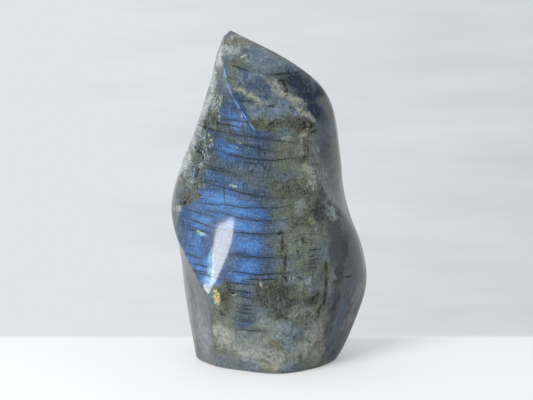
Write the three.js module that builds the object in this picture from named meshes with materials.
import * as THREE from "three";

// A polished labradorite flame: one piece of stone, ground into twisting faces that meet in ridges
// and rise from a flat sawn foot to a blunt tip. Millimetres, +Z up, the show face towards -Y, and
// the origin at the middle of the foot.

// The stone's height, and the arris ground round the foot so that the sawn edge doesn't chip.
const HEIGHT = 150;
const FOOT_ARRIS = 0.7;

// How finely the surface is faceted: strips across each face between two ridge lines, and rows
// from the foot to the tip.
const STRIPS_PER_FACE = 6;
const ROWS = 50;

// How strongly the rows crowd towards the tip, where the shoulder turns fastest: 1 is even.
const TIP_CROWDING = 1.12;

// The ridge lines, in order round the stone as seen from above, starting at the front and going
// by the right and the back. Each has stations of [height, right, back, crispness] from foot to
// tip. Crispness is 0 where the surface rolls over smoothly and 1 where two faces meet in an edge.
// Their upper ends lie round the small slanting facet at the tip.
const RIDGE_LINES = {
  // The brow: a crisp ridge below the tip that fades into the roll of the show face.
  front: [
    [0, 6.5, -24.7, 0.1],
    [16.1, 7.6, -29.3, 0.05],
    [33.1, 7.6, -32.2, 0],
    [53.2, 6, -30.2, 0],
    [70.7, 3.8, -26, 0],
    [86.5, 1.8, -21.8, 0],
    [96.6, 0.2, -19.3, 0],
    [102.8, -1.5, -18.1, 0.1],
    [106.9, -4.2, -17.3, 0.35],
    [111.9, -8, -16, 0.6],
    [116.2, -11.1, -15, 0.8],
    [121.8, -14.8, -13.3, 0.9],
    [128.6, -17.5, -11, 0.95],
    [135.1, -19, -8.3, 1],
    [139.6, -19.5, -6.3, 0.95],
    [143.7, -19.1, -4.2, 0.9],
    [148.4, -17.6, -1.9, 0.8],
  ],
  // The soft edge of the show face towards the right bulge.
  frontRight: [
    [0, 23.8, -14.6, 0.3],
    [18.7, 26, -18.9, 0.25],
    [32.9, 27, -20.7, 0.25],
    [43.8, 27.1, -20.8, 0.25],
    [55.2, 26.4, -20, 0.2],
    [65.1, 23.7, -18.8, 0.1],
    [73.9, 19.6, -17.8, 0],
    [88.7, 12, -17, 0],
    [104, 8.9, -15.2, 0],
    [118.4, 1, -12.5, 0],
    [132.8, -8, -9, 0],
    [143, -12.6, -5, 0],
    [149.3, -16.7, -1.7, 0.3],
  ],
  // From the tip down the soft edge of the shoulder face, out over the waist to the right bulge.
  right: [
    [0, 32.5, 0.5, 0.1],
    [8.5, 36.8, 0.9, 0],
    [16, 39.8, 1, 0],
    [23.6, 42.6, 1, 0],
    [31, 44.8, 0.9, 0],
    [38.7, 45.5, 0.4, 0],
    [46.3, 44.6, -0.6, 0],
    [54, 42.7, -2.2, 0.05],
    [61, 39.9, -4.6, 0.15],
    [67.9, 35.4, -7.6, 0.3],
    [74.7, 29.4, -11, 0.4],
    [80.4, 25.2, -12.1, 0.45],
    [90.9, 21.1, -12.6, 0.45],
    [98.4, 19.6, -12.2, 0.45],
    [107.2, 17.5, -11.2, 0.45],
    [118, 11.5, -9.8, 0.4],
    [128.8, 4, -7.8, 0.35],
    [137.4, -2.2, -5.7, 0.3],
    [144.9, -9, -3.2, 0.3],
    [149.8, -16.1, -1.1, 0.5],
  ],
  // The sharp top edge, the rounded shoulder and the waist, then hidden behind the right bulge.
  shoulder: [
    [0, 27, 13, 0.1],
    [16, 33.5, 17, 0],
    [33, 37.5, 18, 0],
    [46, 38.2, 16.4, 0],
    [60, 37.9, 10.6, 0],
    [67.8, 37.2, 6.4, 0],
    [75, 35.5, 4.4, 0],
    [82.4, 34.2, 3.2, 0],
    [90, 33.6, 2.6, 0],
    [97.1, 32.7, 2.5, 0],
    [104.4, 31.8, 2.5, 0],
    [111.6, 30.6, 2.5, 0.1],
    [118.8, 28.3, 2.4, 0.2],
    [126, 23.6, 2.1, 0.4],
    [133.2, 15.1, 1.6, 0.8],
    [140.4, 3.4, 0.9, 1],
    [145.1, -6.1, 0.3, 1],
    [HEIGHT, -15.9, -0.3, 1],
  ],
  backRight: [
    [0, 13, 22, 0.1],
    [16, 18, 25.5, 0],
    [33, 21, 27.5, 0],
    [60, 21, 26, 0],
    [90, 18, 20.5, 0],
    [110, 15, 15, 0],
    [126, 7.5, 9.6, 0],
    [138, -5, 5.2, 0],
    [149.9, -16, 0.4, 0.3],
  ],
  // A second ridge comes down the back from the tip and fades at half height.
  back: [
    [0, -6, 24, 0.1],
    [16, -5, 28, 0],
    [33, -4, 30.5, 0],
    [60, -3, 30, 0.1],
    [90, -7, 25.6, 0.5],
    [110, -10.5, 19.4, 0.8],
    [130, -13.8, 10.4, 0.9],
    [149.2, -16.8, 0.8, 0.9],
  ],
  backLeft: [
    [0, -23, 15.5, 0.1],
    [16, -25.5, 19, 0],
    [33, -27.5, 21, 0],
    [60, -29.5, 21, 0],
    [90, -27, 16.5, 0],
    [110, -22.5, 11.8, 0],
    [130, -19.3, 6.6, 0],
    [148.3, -17.7, 0.5, 0.2],
  ],
  // The outline of the lower left face, and the roll behind the left edge above it.
  leftBack: [
    [0, -32.4, 2, 0.1],
    [8, -33.6, 3, 0],
    [16, -34.9, 4, 0],
    [30, -36.8, 5.4, 0],
    [45, -38.5, 6.3, 0],
    [52.6, -39.8, 7, 0],
    [60, -41.1, 7.6, 0],
    [68, -41.4, 8.2, 0],
    [78, -39, 8.2, 0],
    [90, -35.1, 7.8, 0],
    [105, -29.5, 6.4, 0],
    [119, -25.2, 4.4, 0],
    [133, -21.6, 2.4, 0],
    [140.4, -20, 1.2, 0.1],
    [147.8, -18.3, -0.2, 0.2],
  ],
  // The left ridge: rolls down the outline, turns crisp below the widest point and crosses to the
  // front. Under it the line is the soft upright corner of the lower left face.
  left: [
    [0, -23.2, -13.2, 0.45],
    [8.6, -23.6, -16.3, 0.45],
    [16.5, -24, -19.2, 0.5],
    [25.1, -23.9, -22.5, 0.65],
    [31.8, -23.7, -25.3, 0.85],
    [35.7, -25.7, -24, 1],
    [39.3, -28.7, -21.1, 1],
    [43.4, -31.4, -17.7, 1],
    [46.1, -33.4, -15, 1],
    [52.2, -37, -9.6, 1],
    [57.4, -40.2, -4.4, 0.85],
    [62, -41.7, -1.8, 0.6],
    [68.4, -42.8, -0.7, 0.35],
    [75, -42.4, -0.6, 0.1],
    [82.3, -40.6, -0.8, 0],
    [89.7, -38.2, -1, 0],
    [97.1, -35.3, -1, 0],
    [104.4, -32.3, -1, 0],
    [111.7, -29.8, -1.2, 0],
    [118.9, -27.5, -1.5, 0],
    [126.1, -25.3, -1.9, 0],
    [133.2, -23.4, -2.2, 0],
    [140.4, -21.6, -2, 0.1],
    [144, -20.2, -1.6, 0.2],
    [147.6, -18.7, -1.1, 0.3],
  ],
  // The left of the show face, with the last of the left ridge as it fades above the foot.
  frontLeft: [
    [0, -12, -19.6, 0.05],
    [10.2, -11.6, -23.8, 0.1],
    [19.4, -13, -27.1, 0.3],
    [26.5, -16, -28, 0.35],
    [33.4, -18.5, -27.7, 0.2],
    [43.9, -20.6, -25.9, 0],
    [53.4, -21.1, -23.7, 0],
    [66.8, -20.7, -19.8, 0],
    [78.6, -20.9, -15.6, 0],
    [88.5, -21.3, -12.2, 0],
    [103.9, -21.6, -8.4, 0],
    [118.4, -21.6, -6.4, 0],
    [132.8, -21.7, -4.7, 0],
    [140.4, -20.8, -3.6, 0.1],
    [147.9, -18.2, -1.6, 0.2],
  ],
};

// Where a ridge line is at a height: an interpolant that gives [right, back, crispness].
function ridgeLine(stations) {
  const heights = stations.map(([height]) => height);
  const values = stations.flatMap(([, right, back, crispness]) => [right, back, crispness]);
  const line = new THREE.CubicInterpolant(heights, values, 3);
  return { top: heights.at(-1), line };
}

const ridges = Object.values(RIDGE_LINES).map(ridgeLine);

// The ridge's corner in the row at share v of the way up, as a point with its crispness.
function cornerAt({ top, line }, v) {
  const height = v * top;
  const [right, back, crispness] = line.evaluate(height);
  return {
    point: new THREE.Vector3(right, back, height),
    crispness: THREE.MathUtils.clamp(crispness, 0, 1),
  };
}

// One row of the surface: a closed loop through every corner. Each side is a cubic Bezier. At a
// smooth corner both sides share one direction, and at a crisp one each leaves along its chord.
function rowLoop(v) {
  const corners = ridges.map((ridge) => cornerAt(ridge, v));
  const count = corners.length;
  const next = (i) => (i + 1) % count;
  const chords = corners.map(({ point }, i) => corners[next(i)].point.clone().sub(point));
  const lengths = chords.map((chord) => chord.length());
  const smooth = corners.map((_, i) => {
    const before = (i + count - 1) % count;
    const total = lengths[before] + lengths[i];
    const arriving = chords[before].clone().multiplyScalar(lengths[i] / lengths[before] / total);
    const leaving = chords[i].clone().multiplyScalar(lengths[before] / lengths[i] / total);
    return arriving.add(leaving);
  });
  const loop = [];
  corners.forEach(({ point, crispness }, i) => {
    const end = corners[next(i)];
    const along = chords[i].clone().divideScalar(lengths[i]);
    const leave = smooth[i].clone().lerp(along, crispness).multiplyScalar(lengths[i] / 3);
    const arrive = smooth[next(i)].clone().lerp(along, end.crispness).multiplyScalar(lengths[i] / 3);
    const side = new THREE.CubicBezierCurve3(
      point,
      point.clone().add(leave),
      end.point.clone().sub(arrive),
      end.point,
    );
    for (let k = 0; k < STRIPS_PER_FACE; k++) loop.push(side.getPoint(k / STRIPS_PER_FACE));
  });
  return loop;
}

function middleOf(loop) {
  return loop.reduce((sum, p) => sum.add(p), new THREE.Vector3()).divideScalar(loop.length);
}

// A copy of a loop drawn in towards its middle by a distance.
function drawnIn(loop, distance) {
  const middle = middleOf(loop);
  return loop.map((p) => {
    const inward = middle.clone().sub(p);
    return p.clone().addScaledVector(inward, distance / inward.length());
  });
}

// The rows from the foot to the tip. The lowest is the sawn foot, inside its arris.
function stoneRows() {
  const rows = [drawnIn(rowLoop(0), FOOT_ARRIS)];
  for (let row = 0; row <= ROWS; row++) {
    const share = row / ROWS;
    const loop = rowLoop(1 - Math.pow(1 - share, TIP_CROWDING));
    if (row === 0) loop.forEach((p) => (p.z = FOOT_ARRIS));
    rows.push(loop);
  }
  return rows;
}

// The stone: rows joined by strips, closed below by the foot and above by the facet at the tip.
function flameGeometry() {
  const rows = stoneRows();
  const across = rows[0].length;
  const points = rows.flat();
  const triangles = [];
  for (let row = 0; row + 1 < rows.length; row++) {
    for (let k = 0; k < across; k++) {
      const a = row * across + k;
      const b = row * across + ((k + 1) % across);
      triangles.push(a, b, b + across, a, b + across, a + across);
    }
  }
  const cap = (loop, start, facesUp) => {
    const centre = points.push(middleOf(loop)) - 1;
    for (let k = 0; k < across; k++) {
      const a = start + k;
      const b = start + ((k + 1) % across);
      triangles.push(...(facesUp ? [a, b, centre] : [b, a, centre]));
    }
  };
  cap(rows[0], 0, false);
  cap(rows.at(-1), (rows.length - 1) * across, true);
  const geometry = new THREE.BufferGeometry().setFromPoints(points);
  geometry.setIndex(triangles);
  return geometry;
}

const labradorite = new THREE.MeshStandardMaterial({
  color: 0x5f7488,
  roughness: 0.12,
  metalness: 0,
});

const flame = new THREE.Mesh(flameGeometry(), labradorite);
flame.name = "flame_stone";

const object = new THREE.Group();
object.add(flame);

export default object;
